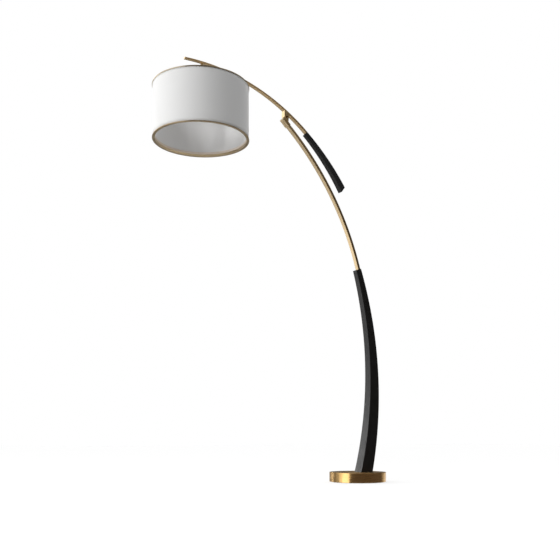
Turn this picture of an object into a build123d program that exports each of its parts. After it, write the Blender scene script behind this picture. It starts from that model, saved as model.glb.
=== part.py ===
from build123d import *
import os
from math import cos, degrees, radians, sin, tan

# Arc floor lamp: a weighted brass base, a black tapered column, a curved brass bar and, on a
# knuckle at its end, a tilting arm with a black counterweight and a hanging drum shade.
# Millimetres, +Z up, origin on the floor under the centre of the base, arm reaching to -X.
# A "lean" is how far a curve's direction leans from upright towards the shade, in degrees.

# Base
base_diameter = 300.0
base_height = 52.0
cover_wall = 1.5
cover_edge_radius = 1.2
pad_thickness = 2.0
pad_edge_margin = 8.0
plate_thickness = 1.5
plate_gap = 0.3
plate_screw_count = 3
plate_screw_circle_radius = 90.0
plate_screw_radius = 2.5
plate_screw_head_radius = 4.5
plate_screw_length = 14.0
weight_diameter = 270.0
weight_pocket_radius = 40.0
weight_pocket_depth = 20.0
bushing_bore_radius = 3.6
bushing_body_radius = 5.5
bushing_flange_radius = 8.0
bushing_flange_thickness = 2.5

# Column
column_setback = 38.7
column_radius = 1994.0
column_foot_lean = -13.37
column_top_lean = 17.95
column_foot_depth = 72.0
column_top_depth = 33.0
column_foot_width = 66.0
column_top_width = 33.8
column_wall = 1.5
column_edge_radius = 2.5
foot_block_height = 30.0
foot_bolt_spacing = 34.0
foot_bolt_radius = 5.0
foot_bolt_bite = 22.0
bolt_head_radius = 8.5
bolt_head_height = 6.4
bolt_washer_radius = 11.0
bolt_washer_thickness = 2.0
plug_length = 60.0
plug_web = 0.8
seat_length = 24.0
column_screw_depths = (16.0, 44.0)
screw_radius = 2.0
screw_head_radius = 3.6
screw_head_height = 1.8
screw_bite = 1.0
screw_socket_radius = 1.25
screw_socket_depth = 1.4

# Lower bar
bar_radius = 1479.5
bar_mouth_lean = 16.4
bar_end_lean = 47.91
bar_depth = 14.0
bar_width = 24.0
bar_wall = 1.5
bar_edge_radius = 1.0
bar_insert = 145.0

# Knuckle
fork_depth = 16.4
fork_width = 32.0
fork_length = 48.0
fork_tip_radius = 8.0
fork_nose_radius = 2.0
fork_edge_radius = 1.5
fork_floor = 1.2
spigot_length = 26.0
fork_pin_radius = 2.0
fork_pin_drop = 13.0
pivot_rise = 10.6
pivot_radius = 3.0
pivot_head_radius = 5.6
pivot_socket_radius = 2.0
pivot_socket_depth = 2.2
pivot_nut_radius = 5.8
pivot_nut_height = 4.5
friction_washer_radius = 5.8
friction_washer_thickness = 1.0
lug_thickness = 8.0
lug_top_width = 20.0
lug_end_radius = 5.8
lug_height = 58.3
block_width = 30.0
block_front = 21.7
block_back = 3.0
block_saddle = 1.0
block_edge_radius = 0.8

# Upper arm and counterweight tail
arm_radius = 983.6
arm_lug_lean = 58.05
arm_tip_lean = 92.0
arm_tail_lean = 50.1
arm_tip_depth = 7.5
arm_root_depth = 10.8
arm_tip_width = 15.0
arm_root_width = 21.6
arm_wall = 1.2
arm_edge_radius = 0.8
tip_plug_length = 10.0
tail_radius = 1188.0
tail_kink = 0.5
tail_length = 342.0
tail_top_size = 22.8
tail_end_size = 32.2
tail_end_slant = 21.0
tail_proud = 0.2
tail_spigot = 40.0
tail_edge_radius = 2.5
tail_screw_heights = (12.0, 28.0)
tail_screw_bite = 6.0

# Hanging swivel and stem
hanger_setback = 84.11
hanger_crank = 9.0
hanger_thickness = 7.0
hanger_top_width = 12.0
hanger_end_radius = 6.0
swivel_drop = 23.0
swivel_pin_radius = 2.5
swivel_pin_proud = 1.0
stem_fork_radius = 9.0
stem_fork_length = 26.0
stem_fork_floor = 8.0
stem_radius = 6.0
stem_socket_depth = 9.0
stem_nut_radius = 9.5
stem_nut_height = 5.0

# Lamp holder and bulb
holder_skirt_radius = 19.5
holder_skirt_wall = 3.5
holder_skirt_drop = 20.0
holder_skirt_rise = 14.0
holder_cap_wall = 2.0
holder_cap_lap = 6.0
holder_cap_side = 20.0
holder_cap_height = 38.0
ring_nut_radius = 27.0
ring_nut_height = 5.5
insert_height = 10.0
switch_block_width = 14.0
switch_block_length = 24.0
switch_block_height = 18.0
screw_shell_radius = 15.0
screw_shell_wall = 0.8
screw_shell_length = 20.0
contact_radius = 3.5
contact_height = 3.0
bulb_cap_radius = 13.2
bulb_thread_depth = 0.7
bulb_thread_count = 5
bulb_cap_length = 18.0
bulb_glass_wall = 1.0
bulb_neck_radius = 14.5
bulb_radius = 30.0
bulb_length = 84.0
key_shaft_radius = 2.2
key_reach = 40.0
key_paddle_width = 13.0
key_paddle_length = 12.0
key_paddle_thickness = 5.4

# Shade
shade_diameter = 457.0
shade_height = 250.0
shade_drop = 121.0
drum_thickness = 1.0
liner_thickness = 0.8
trim_lip = 1.8
trim_web = 2.0
trim_inner_leg = 9.0
trim_corner_radius = 0.6
top_trim_height = 5.0
top_trim_inner_height = 8.0
bottom_trim_height = 3.0
bottom_trim_inner_height = 21.0
spider_recess = 12.0
spider_plate = 2.4
spider_hub_radius = 32.0
spoke_radius = 1.8
spoke_count = 3
spoke_rim_drop = 5.0

# Leads inside the lamp
lead_radius = 2.5
arm_lead_radius = 2.0
lead_turn_radius = 11.0
lead_column_height = 640.0
lead_foot_bend = 450.0
lead_column_bend = 900.0

# Clearances
press_gap = 0.1
weld_gap = 0.12
slide_gap = 0.2
pin_gap = 0.08
run_gap = 0.3
lead_gap = 0.3
bolt_gap = 0.5
slot_gap = 1.2
block_gap = 1.6


def arc_point(centre, radius, lean):
    """Point in the XZ plane on an arc, at the place where its direction has this lean."""
    return (centre[0] + radius * cos(radians(lean)), centre[1] + radius * sin(radians(lean)))


def arc_centre(point, radius, lean):
    """Centre of the arc that passes through a point with this lean."""
    return arc_point(point, -radius, lean)


def along_arc(length, radius):
    """Change of lean along a length of arc, in degrees."""
    return degrees(length / radius)


def line_between(place_a, size_a, place_b, size_b):
    """Size that changes in a straight line between two places, and beyond them."""
    return lambda place: size_a + (size_b - size_a) * (place - place_a) / (place_b - place_a)


def side_plane(point, lean=0.0):
    """Plane of the side view at a point: its x points to the curve's back, its y along it."""
    back = (cos(radians(lean)), 0, sin(radians(lean)))
    return Plane(origin=(point[0], 0, point[1]), x_dir=back, z_dir=(0, -1, 0))


def cross_plane(point, lean):
    """Plane across a curve: its normal runs along the curve, its x points to the back."""
    back = (cos(radians(lean)), 0, sin(radians(lean)))
    return Plane(origin=(point[0], 0, point[1]), x_dir=back, z_dir=(-back[2], 0, back[0]))


def point_along(plane, distance):
    """Point of the side view at a distance along a side plane's y axis."""
    place = plane.from_local_coords(Vector(0, distance, 0))
    return (place.X, place.Z)


def level_plane(x, z):
    """Level plane with its origin on the lamp's plane of symmetry."""
    return Plane(origin=(x, 0, z))


def curved_band(centre, radius, lean_low, lean_high, depth):
    """Side view of a bar along an arc, with a depth that depends on the lean."""
    leans = (lean_low, (lean_low + lean_high) / 2, lean_high)
    with BuildSketch(Plane.XZ) as band:
        with BuildLine():
            back = ThreePointArc(*[arc_point(centre, radius + depth(lean) / 2, lean) for lean in leans])
            front = ThreePointArc(*[arc_point(centre, radius - depth(lean) / 2, lean) for lean in leans])
            Line(back @ 0, front @ 0)
            Line(back @ 1, front @ 1)
        make_face()
    return band.sketch


def taper_outline(plane, start, end, width):
    """Outline that is symmetric about the local y axis, with a width along that axis."""
    with BuildSketch(plane) as outline:
        with BuildLine():
            Polyline(
                (-width(start) / 2, start),
                (width(start) / 2, start),
                (width(end) / 2, end),
                (-width(end) / 2, end),
                close=True,
            )
        make_face()
    return outline.sketch


def bent_solid(band, outline, reach):
    """Solid that has this side view and this outline from the front or from above."""
    with BuildPart() as form:
        extrude(band, amount=reach, both=True)
        extrude(outline, amount=reach, both=True, mode=Mode.INTERSECT)
    return form.part


def side_drill(point, start):
    """Drilling from a point's distance behind the middle plane outwards to +Y."""
    with BuildPart() as drill:
        with BuildSketch(side_plane(point).offset(-start)):
            Circle(screw_radius + press_gap)
        extrude(amount=-beyond)
    return drill.part


def side_screw(point, start, face):
    """Round-headed screw whose shank starts inside and whose head lies on a face towards +Y."""
    with BuildPart() as screw:
        with BuildSketch(side_plane(point).offset(-face)):
            Circle(screw_head_radius)
        extrude(amount=-screw_head_height)
        fillet(screw.edges().group_by(Axis.Y)[-1], radius=screw_head_height / 2)
        with BuildSketch(side_plane(point).offset(-start)):
            Circle(screw_radius)
        extrude(amount=start - face)
        with BuildSketch(side_plane(point).offset(-(face + screw_head_height))):
            RegularPolygon(screw_socket_radius, 6, major_radius=False)
        extrude(amount=screw_socket_depth, mode=Mode.SUBTRACT)
    return screw.part


def lug_outline(pin, top_offset, rise, lean, top_width, end_radius):
    """Side view of a lug: an eye round its pin and straight sides up to the arm's middle."""
    top_left = (top_offset - top_width / 2, rise + top_width / 2 / tan(radians(lean)))
    top_right = (top_offset + top_width / 2, rise - top_width / 2 / tan(radians(lean)))
    with BuildSketch(side_plane(pin)) as outline:
        with BuildLine():
            Polyline((end_radius, 0), top_right, top_left, (-end_radius, 0))
            ThreePointArc((-end_radius, 0), (0, -end_radius), (end_radius, 0))
        make_face()
    return outline.sketch


# Places of the main curves, worked out from the floor upwards
base_radius = base_diameter / 2
cover_inner_radius = base_radius - cover_wall
plate_level = pad_thickness
weight_level = plate_level + plate_thickness
weight_top = base_height - cover_wall
pocket_ceiling = weight_level + weight_pocket_depth
lead_level = weight_level + bushing_flange_radius

column_foot_point = (column_setback, base_height)
column_centre = arc_centre(column_foot_point, column_radius, column_foot_lean)
column_top_point = arc_point(column_centre, column_radius, column_top_lean)
column_start_lean = column_foot_lean - along_arc(column_foot_depth, column_radius)
column_length = radians(column_top_lean - column_foot_lean) * column_radius
column_depth = line_between(column_foot_lean, column_foot_depth, column_top_lean, column_top_depth)
column_width = line_between(base_height, column_foot_width, column_top_point[1], column_top_width)

bar_offset = column_top_depth / 2 - column_wall - plug_web - bar_depth / 2
bar_mouth_point = arc_point(column_top_point, bar_offset, column_top_lean)
bar_centre = arc_centre(bar_mouth_point, bar_radius, bar_mouth_lean)
bar_low_lean = bar_mouth_lean - along_arc(bar_insert, bar_radius)
bar_low_point = arc_point(bar_centre, bar_radius, bar_low_lean)
bar_end_point = arc_point(bar_centre, bar_radius, bar_end_lean)
bar_length = radians(bar_end_lean - bar_low_lean) * bar_radius

fork_side = side_plane(bar_end_point, bar_end_lean)
pivot_point = point_along(fork_side, pivot_rise)
slot_half_width = lug_thickness / 2 + friction_washer_thickness + 2 * press_gap

arm_lug_point = (pivot_point[0], pivot_point[1] + lug_height)
arm_centre = arc_centre(arm_lug_point, arm_radius, arm_lug_lean)
arm_tip_point = arc_point(arm_centre, arm_radius, arm_tip_lean)
arm_root_point = arc_point(arm_centre, arm_radius, arm_tail_lean)
arm_length = radians(arm_tip_lean - arm_tail_lean) * arm_radius
arm_depth = line_between(arm_tail_lean, arm_root_depth, arm_tip_lean, arm_tip_depth)
arm_width = line_between(arm_root_point[0], arm_root_width, arm_tip_point[0], arm_tip_width)

tail_inset = tail_top_size / 2 - tail_proud - arm_root_depth / 2
tail_top_point = arc_point(arm_root_point, -tail_inset, arm_tail_lean)
tail_top_lean = arm_tail_lean - tail_kink
tail_centre = arc_centre(tail_top_point, tail_radius, tail_top_lean)
tail_end_lean = tail_top_lean - along_arc(tail_length, tail_radius)
tail_end_point = arc_point(tail_centre, tail_radius, tail_end_lean)
tail_depth = line_between(tail_end_lean, tail_end_size, tail_top_lean, tail_top_size)
tail_width = line_between(tail_end_point[1], tail_end_size, tail_top_point[1], tail_top_size)

hanger_lean = arm_tip_lean - along_arc(hanger_setback, arm_radius)
hanger_point = arc_point(arm_centre, arm_radius, hanger_lean)
shade_x = hanger_point[0]
swivel_point = (shade_x, hanger_point[1] - swivel_drop)
shade_top = hanger_point[1] - shade_drop
shade_bottom = shade_top - shade_height
shade_axis = Axis((shade_x, 0, 0), (0, 0, 1))
shade_side = side_plane((shade_x, 0))
hub_level = shade_top - spider_recess
holder_top = hub_level + holder_skirt_rise - holder_cap_lap + holder_cap_height
cap_radius = holder_skirt_radius + slide_gap + holder_cap_wall
insert_top = hub_level + holder_skirt_rise
insert_level = insert_top - insert_height
key_level = insert_top + switch_block_height / 2
stem_fork_bottom = swivel_point[1] - stem_fork_length
bulb_level = hub_level - holder_skirt_drop

drum_radius = shade_diameter / 2
liner_radius = drum_radius - drum_thickness - run_gap
liner_inner_radius = liner_radius - liner_thickness
trim_inner_radius = liner_inner_radius - slide_gap - trim_inner_leg
beyond = base_diameter + column_length + bar_length + arm_length


# Base cover: a spun brass drum, open underneath, with holes for the column and the cord
foot_bolt_places = [(column_setback + side * foot_bolt_spacing / 2, 0) for side in (-1, 1)]
bushing_plane = Plane(origin=(base_radius, 0, lead_level), x_dir=(0, 1, 0), z_dir=(1, 0, 0))
with BuildPart() as base_cover:
    with BuildSketch(Plane.XY.offset(plate_level)):
        Circle(base_radius)
    extrude(amount=base_height - plate_level)
    fillet(base_cover.edges().group_by(Axis.Z)[-1], radius=cover_edge_radius)
    with BuildSketch(Plane.XY.offset(plate_level)):
        Circle(cover_inner_radius)
    extrude(amount=weight_top - plate_level, mode=Mode.SUBTRACT)
    with BuildSketch(Plane.XY.offset(weight_top)):
        with Locations(*foot_bolt_places):
            Circle(foot_bolt_radius + bolt_gap)
        with Locations((column_setback, 0)):
            Circle(lead_radius + lead_gap)
    extrude(amount=cover_wall, mode=Mode.SUBTRACT)
    with BuildSketch(bushing_plane):
        Circle(bushing_body_radius + slide_gap)
    extrude(amount=-bushing_flange_radius, mode=Mode.SUBTRACT)
base_cover.part.label = "base_cover"

# Cast-iron weight: a disc with a pocket for the bolt heads and a channel for the lead
plate_screw_start = 180 / plate_screw_count
with BuildPart() as base_weight:
    with BuildSketch(Plane.XY.offset(weight_level)):
        Circle(weight_diameter / 2)
    extrude(amount=weight_top - weight_level)
    with BuildSketch(Plane.XY.offset(weight_level)):
        with Locations((column_setback, 0)):
            Circle(weight_pocket_radius)
        with Locations((column_setback + base_radius / 2, 0)):
            Rectangle(base_radius, 2 * bushing_flange_radius)
    extrude(amount=weight_pocket_depth, mode=Mode.SUBTRACT)
    with BuildSketch(Plane.XY.offset(weight_level)):
        with Locations(*foot_bolt_places):
            Circle(foot_bolt_radius + bolt_gap)
        with Locations((column_setback, 0)):
            Circle(lead_radius + lead_gap)
    extrude(amount=weight_top - weight_level, mode=Mode.SUBTRACT)
    with BuildSketch(Plane.XY.offset(weight_level)):
        with PolarLocations(plate_screw_circle_radius, plate_screw_count, plate_screw_start):
            Circle(plate_screw_radius + press_gap)
    extrude(amount=plate_screw_length, mode=Mode.SUBTRACT)
base_weight.part.label = "base_weight"

# Steel plate that closes the base from below
with BuildPart() as base_plate:
    with BuildSketch(Plane.XY.offset(plate_level)):
        Circle(cover_inner_radius - plate_gap)
        with PolarLocations(plate_screw_circle_radius, plate_screw_count, plate_screw_start):
            Circle(plate_screw_head_radius + press_gap, mode=Mode.SUBTRACT)
    extrude(amount=plate_thickness)
base_plate.part.label = "base_plate"

# Flat-headed screws of the plate
with BuildPart() as plate_screws:
    with BuildSketch(Plane.XY.offset(plate_level)):
        with PolarLocations(plate_screw_circle_radius, plate_screw_count, plate_screw_start):
            Circle(plate_screw_head_radius)
    extrude(amount=plate_thickness)
    with BuildSketch(Plane.XY.offset(weight_level)):
        with PolarLocations(plate_screw_circle_radius, plate_screw_count, plate_screw_start):
            Circle(plate_screw_radius)
    extrude(amount=plate_screw_length - bolt_gap)
plate_screws.part.label = "plate_screws"

# Rubber pad that the lamp stands on
with BuildPart() as base_pad:
    with BuildSketch():
        Circle(cover_inner_radius - plate_gap - pad_edge_margin)
    extrude(amount=pad_thickness)
base_pad.part.label = "base_pad"

# Bushing in the back of the base, the inlet of the mains cord
with BuildPart() as cord_bushing:
    with BuildSketch(bushing_plane):
        Circle(bushing_flange_radius)
    extrude(amount=bushing_flange_thickness)
    fillet(cord_bushing.edges().group_by(Axis.X)[-1], radius=bushing_flange_thickness / 3)
    with BuildSketch(bushing_plane):
        Circle(bushing_body_radius)
    extrude(amount=-(cover_wall + run_gap))
    with BuildSketch(bushing_plane.offset(-(cover_wall + run_gap))):
        Circle(bushing_flange_radius - slide_gap)
    extrude(amount=-bushing_flange_thickness)
    with BuildSketch(bushing_plane.offset(bushing_flange_thickness)):
        Circle(bushing_bore_radius)
    extrude(amount=-2 * (bushing_flange_thickness + cover_wall), mode=Mode.SUBTRACT)
cord_bushing.part.label = "cord_bushing"


def column_form(inset, overshoot=0.0):
    """Outside form of the column, or a form set in from all its long faces."""
    band = curved_band(
        column_centre,
        column_radius,
        column_start_lean,
        column_top_lean + along_arc(overshoot, column_radius),
        lambda lean: column_depth(lean) - 2 * inset,
    )
    outline = taper_outline(
        Plane.YZ,
        base_height,
        column_top_point[1] + column_top_depth,
        lambda height: column_width(height) - 2 * inset,
    )
    return bent_solid(band, outline, beyond)


# Screws that hold the bar in the column, on the bar's middle line
column_screw_points = [
    arc_point(bar_centre, bar_radius, bar_mouth_lean - along_arc(depth, bar_radius))
    for depth in column_screw_depths
]
column_screw_end = bar_width / 2 - bar_wall - screw_bite

# Column: a curved tube of square section that tapers upwards, open at both ends
with BuildPart() as column_shell:
    add(column_form(0))
    fillet(
        column_shell.edges().filter_by(lambda edge: edge.length > column_length / 2),
        radius=column_edge_radius,
    )
    add(column_form(column_wall, column_wall), mode=Mode.SUBTRACT)
    for screw_point in column_screw_points:
        add(side_drill(screw_point, column_screw_end), mode=Mode.SUBTRACT)
column_shell.part.label = "column_shell"

# Threaded block in the foot of the column
with BuildPart() as column_foot:
    add(column_form(column_wall + weld_gap))
    split(bisect_by=Plane.XY.offset(base_height + foot_block_height), keep=Keep.BOTTOM)
    with BuildSketch(Plane.XY.offset(base_height)):
        with Locations(*foot_bolt_places):
            Circle(foot_bolt_radius + press_gap)
        with Locations((column_setback, 0)):
            Circle(lead_radius + lead_gap)
    extrude(amount=foot_block_height, mode=Mode.SUBTRACT)
column_foot.part.label = "column_foot"

# Bolts that clamp the column to the cover and the weight, with their washers
washer_level = pocket_ceiling - bolt_washer_thickness
with BuildPart() as column_bolts:
    with BuildSketch(Plane.XY.offset(washer_level - bolt_head_height)):
        with Locations(*foot_bolt_places):
            RegularPolygon(bolt_head_radius, 6, major_radius=False)
    extrude(amount=bolt_head_height)
    with BuildSketch(Plane.XY.offset(washer_level)):
        with Locations(*foot_bolt_places):
            Circle(foot_bolt_radius)
    extrude(amount=base_height + foot_bolt_bite - washer_level)
column_bolts.part.label = "column_bolts"

with BuildPart() as bolt_washers:
    with BuildSketch(Plane.XY.offset(washer_level)):
        with Locations(*foot_bolt_places):
            Circle(bolt_washer_radius)
            Circle(foot_bolt_radius + slide_gap, mode=Mode.SUBTRACT)
    extrude(amount=bolt_washer_thickness)
bolt_washers.part.label = "bolt_washers"


def bar_form(inset, lean_low, lean_high):
    """Outside form of the lower bar between two leans, or a form set in from it."""
    band = curved_band(bar_centre, bar_radius, lean_low, lean_high, lambda lean: bar_depth - 2 * inset)
    with BuildPart() as form:
        extrude(band, amount=bar_width / 2 - inset, both=True)
    return form.part


# Plug that closes the column's mouth around the bar
bar_above_lean = bar_mouth_lean + along_arc(column_top_depth, bar_radius)
plug_low_lean = column_top_lean - along_arc(plug_length, column_radius)
plug_low_plane = cross_plane(arc_point(column_centre, column_radius, plug_low_lean), plug_low_lean)
with BuildPart() as column_plug:
    add(column_form(column_wall + press_gap))
    split(bisect_by=plug_low_plane, keep=Keep.TOP)
    add(bar_form(-press_gap, bar_low_lean, bar_above_lean), mode=Mode.SUBTRACT)
    for screw_point in column_screw_points:
        add(side_drill(screw_point, column_screw_end), mode=Mode.SUBTRACT)
column_plug.part.label = "column_plug"

# Seat of the bar's lower end inside the column, bored for the lead
seat_low_lean = bar_low_lean - along_arc(seat_length / 2, bar_radius)
seat_high_lean = bar_low_lean + along_arc(seat_length / 2, bar_radius)
seat_planes = [
    cross_plane(arc_point(bar_centre, bar_radius, lean), lean) for lean in (seat_low_lean, seat_high_lean)
]
with BuildPart() as bar_seat:
    add(column_form(column_wall + press_gap))
    split(bisect_by=seat_planes[0], keep=Keep.TOP)
    split(bisect_by=seat_planes[1], keep=Keep.BOTTOM)
    add(bar_form(-press_gap, bar_low_lean, bar_mouth_lean), mode=Mode.SUBTRACT)
    with BuildSketch(cross_plane(bar_low_point, bar_low_lean)):
        Circle(lead_radius + lead_gap)
    extrude(amount=-seat_length, mode=Mode.SUBTRACT)
bar_seat.part.label = "bar_seat"

with BuildPart() as column_screws:
    for screw_point in column_screw_points:
        add(side_screw(screw_point, column_screw_end, column_width(screw_point[1]) / 2 + press_gap))
column_screws.part.label = "column_screws"

# Lower bar: a flat brass tube bent along an arc, drilled across for the fork's pin
fork_pin_plane = side_plane(point_along(fork_side, -fork_pin_drop), bar_end_lean)
with BuildPart() as lower_bar:
    add(bar_form(0, bar_low_lean, bar_end_lean))
    fillet(
        lower_bar.edges().filter_by(lambda edge: edge.length > bar_length / 2),
        radius=bar_edge_radius,
    )
    add(bar_form(bar_wall, bar_low_lean, bar_end_lean), mode=Mode.SUBTRACT)
    for screw_point in column_screw_points:
        add(side_drill(screw_point, column_screw_end), mode=Mode.SUBTRACT)
    with BuildSketch(fork_pin_plane):
        Circle(fork_pin_radius + press_gap)
    extrude(amount=bar_width, both=True, mode=Mode.SUBTRACT)
lower_bar.part.label = "lower_bar"

# Knuckle fork: a fat brass end piece with a spigot in the bar and a slot for the arm's lug
pivot_plane = side_plane(pivot_point)
near_face = pivot_plane.offset(fork_width / 2)
slot_low = pivot_rise - lug_end_radius - slot_gap
with BuildPart() as knuckle_fork:
    with BuildSketch(fork_side) as fork_outline:
        with Locations((0, fork_length / 2)):
            Rectangle(fork_depth, fork_length)
        fillet(fork_outline.vertices().group_by(Axis.Y)[-1].sort_by(Axis.X)[-1], radius=fork_tip_radius)
        fillet(fork_outline.vertices().group_by(Axis.Y)[-1].sort_by(Axis.X)[0], radius=fork_nose_radius)
    extrude(amount=fork_width / 2, both=True)
    fillet(
        knuckle_fork.edges().filter_by(lambda edge: edge.length > fork_width),
        radius=fork_edge_radius,
    )
    with BuildSketch(cross_plane(bar_end_point, bar_end_lean)):
        Rectangle(bar_depth - 2 * (bar_wall + run_gap), bar_width - 2 * (bar_wall + run_gap))
    extrude(amount=-spigot_length)
    with BuildSketch(fork_side):
        with Locations((fork_floor, slot_low + fork_length / 2)):
            Rectangle(fork_depth, fork_length)
    extrude(amount=slot_half_width, both=True, mode=Mode.SUBTRACT)
    with BuildSketch(cross_plane(bar_end_point, bar_end_lean).offset(-spigot_length)):
        Circle(lead_radius + lead_gap)
    extrude(amount=spigot_length + slot_low, mode=Mode.SUBTRACT)
    with BuildSketch(fork_pin_plane):
        Circle(fork_pin_radius + press_gap)
    extrude(amount=bar_width, both=True, mode=Mode.SUBTRACT)
    with Locations(near_face):
        CounterSinkHole(pivot_radius + pin_gap, pivot_head_radius + pin_gap, depth=2 * fork_width)
knuckle_fork.part.label = "knuckle_fork"

# Cross pin, in two stubs each side of the lead's bore
pin_stub = bar_width / 2 - lead_radius - lead_gap - press_gap
with BuildPart() as fork_pin:
    for side in (-1, 1):
        with BuildSketch(fork_pin_plane.offset(side * bar_width / 2)):
            Circle(fork_pin_radius)
        extrude(amount=-side * pin_stub)
fork_pin.part.label = "fork_pin"

# Pivot bolt with a flat head, its domed nut and the two friction washers beside the lug
head_depth = pivot_head_radius - pivot_radius
far_face = near_face.offset(-fork_width)
with BuildPart() as pivot_bolt:
    with BuildSketch(near_face):
        Circle(pivot_head_radius)
    with BuildSketch(near_face.offset(-head_depth)):
        Circle(pivot_radius)
    loft()
    with BuildSketch(near_face.offset(-head_depth)):
        Circle(pivot_radius)
    extrude(amount=-(fork_width - head_depth + pivot_nut_height - press_gap))
    with BuildSketch(near_face):
        RegularPolygon(pivot_socket_radius, 6, major_radius=False)
    extrude(amount=-pivot_socket_depth, mode=Mode.SUBTRACT)
pivot_bolt.part.label = "pivot_bolt"

with BuildPart() as pivot_nut:
    with BuildSketch(far_face):
        RegularPolygon(pivot_nut_radius, 6, major_radius=False)
    extrude(amount=-pivot_nut_height)
    with BuildSketch(far_face.offset(-pivot_nut_height)):
        Circle(pivot_nut_radius - press_gap)
    with BuildSketch(far_face.offset(-2 * pivot_nut_height)):
        Circle(pivot_nut_radius / 2)
    loft()
    with BuildSketch(far_face):
        Circle(pivot_radius + press_gap)
    extrude(amount=-pivot_nut_height, mode=Mode.SUBTRACT)
pivot_nut.part.label = "pivot_nut"

with BuildPart() as friction_washers:
    for side in (-1, 1):
        with BuildSketch(pivot_plane.offset(side * (lug_thickness / 2 + press_gap))):
            Circle(friction_washer_radius)
            Circle(pivot_radius + pin_gap, mode=Mode.SUBTRACT)
        extrude(amount=side * friction_washer_thickness)
friction_washers.part.label = "friction_washers"


def arm_form(inset, lean_low, lean_high):
    """Outside form of the arm between two leans, or a form set in from it."""
    band = curved_band(
        arm_centre, arm_radius, lean_low, lean_high, lambda lean: arm_depth(lean) - 2 * inset
    )
    outline = taper_outline(
        Plane(origin=(0, 0, 0), x_dir=(0, -1, 0), z_dir=(0, 0, 1)),
        arm_root_point[0] + arm_root_width,
        arm_tip_point[0] - arm_tip_width,
        lambda place: arm_width(place) - 2 * inset,
    )
    return bent_solid(band, outline, beyond)


# Lug under the arm that turns on the pivot, with a wide block over the fork's tip that the arm lies in
pivot_lug_outline = lug_outline(pivot_point, 0, lug_height, arm_lug_lean, lug_top_width, lug_end_radius)
block_top = lug_height - (arm_depth(arm_lug_lean) / 2 - block_saddle) / sin(radians(arm_lug_lean))
block_slope = 1 / tan(radians(arm_lug_lean))
with BuildPart() as pivot_lug:
    with BuildSketch(pivot_plane):
        with BuildLine():
            Polyline(
                (-block_front, 0),
                (block_back, 0),
                (block_back, block_top - block_slope * block_back),
                (-block_front, block_top + block_slope * block_front),
                close=True,
            )
        make_face()
        Circle(fork_length - pivot_rise + block_gap, mode=Mode.SUBTRACT)
    extrude(amount=block_width / 2, both=True)
    fillet(pivot_lug.edges().filter_by(Axis.Z), radius=block_edge_radius)
    extrude(pivot_lug_outline, amount=lug_thickness / 2, both=True)
    add(arm_form(-weld_gap, arm_tail_lean, arm_tip_lean), mode=Mode.SUBTRACT)
    with BuildSketch(pivot_plane):
        Circle(pivot_radius + pin_gap)
    extrude(amount=lug_thickness, both=True, mode=Mode.SUBTRACT)
pivot_lug.part.label = "pivot_lug"

# Upper arm: a tapered, curved brass tube with a plug in its square-cut tip
tail_screw_points = [
    arc_point(arm_centre, arm_radius, arm_tail_lean + along_arc(height, arm_radius))
    for height in tail_screw_heights
]
tail_screw_ends = [arm_width(point[0]) / 2 - arm_wall - tail_screw_bite for point in tail_screw_points]
with BuildPart() as upper_arm:
    add(arm_form(0, arm_tail_lean, arm_tip_lean))
    fillet(
        upper_arm.edges().filter_by(lambda edge: edge.length > arm_length / 2),
        radius=arm_edge_radius,
    )
    add(arm_form(arm_wall, arm_tail_lean, arm_tip_lean), mode=Mode.SUBTRACT)
    for screw_point, screw_end in zip(tail_screw_points, tail_screw_ends):
        add(side_drill(screw_point, screw_end), mode=Mode.SUBTRACT)
upper_arm.part.label = "upper_arm"

with BuildPart() as tip_plug:
    add(arm_form(arm_wall + press_gap, arm_tip_lean - along_arc(tip_plug_length, arm_radius), arm_tip_lean))
tip_plug.part.label = "tip_plug"

# Tail: a black counterweight that carries on the arm's back, with a spigot inside the arm
tail_overshoot = along_arc(tail_end_size, tail_radius)
with BuildPart() as tail_weight:
    add(
        bent_solid(
            curved_band(
                tail_centre,
                tail_radius,
                tail_end_lean - tail_overshoot,
                tail_top_lean + tail_overshoot,
                tail_depth,
            ),
            taper_outline(
                Plane.YZ,
                tail_end_point[1] - 2 * tail_end_size,
                tail_top_point[1] + 2 * tail_end_size,
                tail_width,
            ),
            beyond,
        )
    )
    split(bisect_by=cross_plane(tail_end_point, tail_end_lean + tail_end_slant), keep=Keep.TOP)
    split(bisect_by=cross_plane(arm_root_point, arm_tail_lean), keep=Keep.BOTTOM)
    fillet(
        tail_weight.edges().filter_by(lambda edge: edge.length > tail_length / 2)
        + tail_weight.faces().sort_by(Axis.Z)[0].edges(),
        radius=tail_edge_radius,
    )
    add(
        arm_form(
            arm_wall + press_gap,
            arm_tail_lean - along_arc(arm_root_depth, arm_radius),
            arm_tail_lean + along_arc(tail_spigot, arm_radius),
        )
    )
    for screw_point, screw_end in zip(tail_screw_points, tail_screw_ends):
        add(side_drill(screw_point, screw_end), mode=Mode.SUBTRACT)
tail_weight.part.label = "tail_weight"

with BuildPart() as tail_screws:
    for screw_point, screw_end in zip(tail_screw_points, tail_screw_ends):
        add(side_screw(screw_point, screw_end, arm_width(screw_point[0]) / 2 + press_gap))
tail_screws.part.label = "tail_screws"

# Lug under the arm that carries the hanging swivel
hanger_outline = lug_outline(
    swivel_point,
    hanger_crank,
    swivel_drop - hanger_crank / tan(radians(hanger_lean)),
    hanger_lean,
    hanger_top_width,
    hanger_end_radius,
)
swivel_plane = side_plane(swivel_point)
with BuildPart() as hanger_lug:
    extrude(hanger_outline, amount=hanger_thickness / 2, both=True)
    add(arm_form(-weld_gap, arm_lug_lean, arm_tip_lean), mode=Mode.SUBTRACT)
    with BuildSketch(swivel_plane):
        Circle(swivel_pin_radius + pin_gap)
    extrude(amount=hanger_thickness, both=True, mode=Mode.SUBTRACT)
hanger_lug.part.label = "hanger_lug"

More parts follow.
